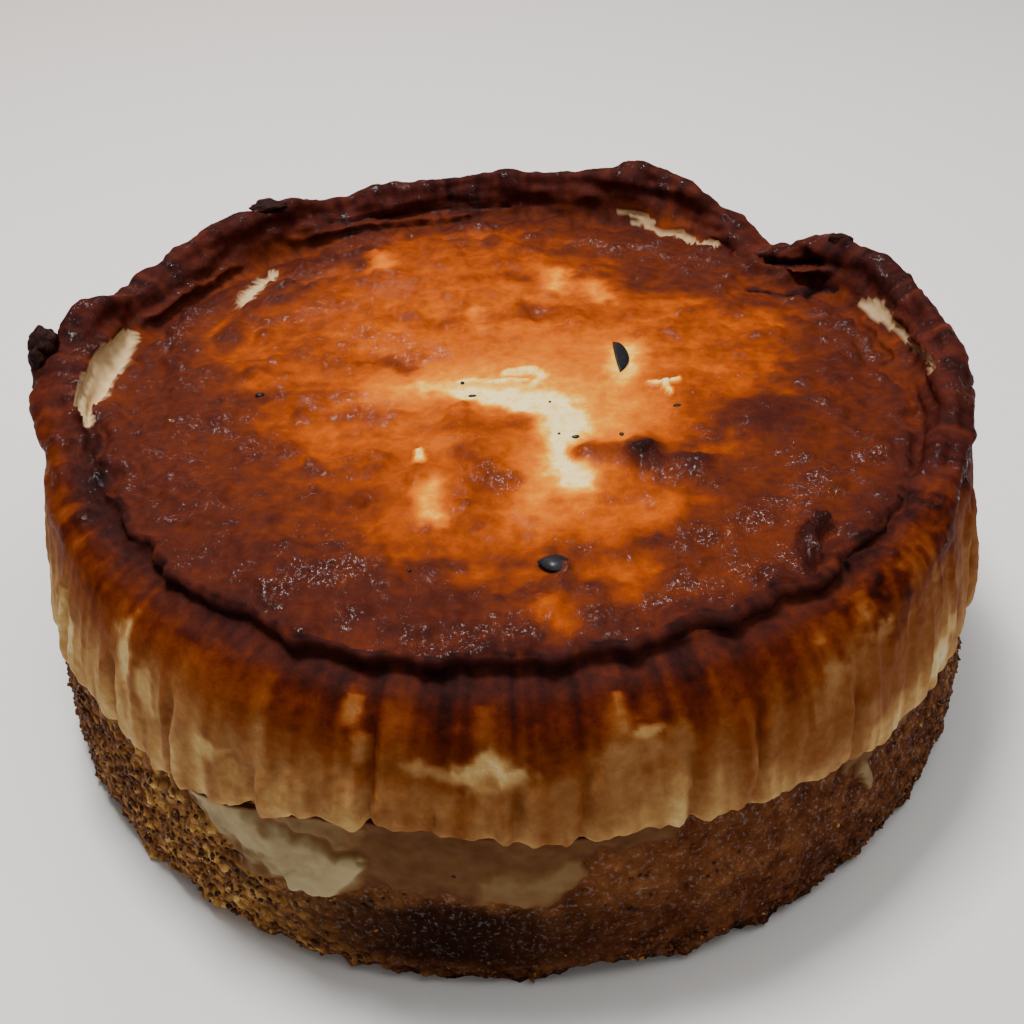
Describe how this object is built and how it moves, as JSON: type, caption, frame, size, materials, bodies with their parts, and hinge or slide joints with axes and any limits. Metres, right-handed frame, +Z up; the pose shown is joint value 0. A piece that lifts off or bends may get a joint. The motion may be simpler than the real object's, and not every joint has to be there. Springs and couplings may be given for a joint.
{
  "type": "cheesecake",
  "caption": "Whole round baked cheesecake: a fluted custard with a raised browned rim and a hollowed, browned top, on a thick biscuit crumb base.",
  "frame": {"origin": "centre of the outline at the underside of the crumb base", "axes": "+Z up out of the browned top; -Y is the front, where the rim has sunk to a shoulder; +X is the right as seen from the front"},
  "size_m": [0.1902, 0.1898, 0.0709],
  "materials": {
    "baked_custard": "baked custard, browned on top, soft gloss",
    "biscuit_crumb": "buttery dark biscuit crumb, coarse"
  },
  "bodies": {
    "root": {"custard_filling": "baked_custard", "crumb_base": "biscuit_crumb"}
  },
  "joints": []
}
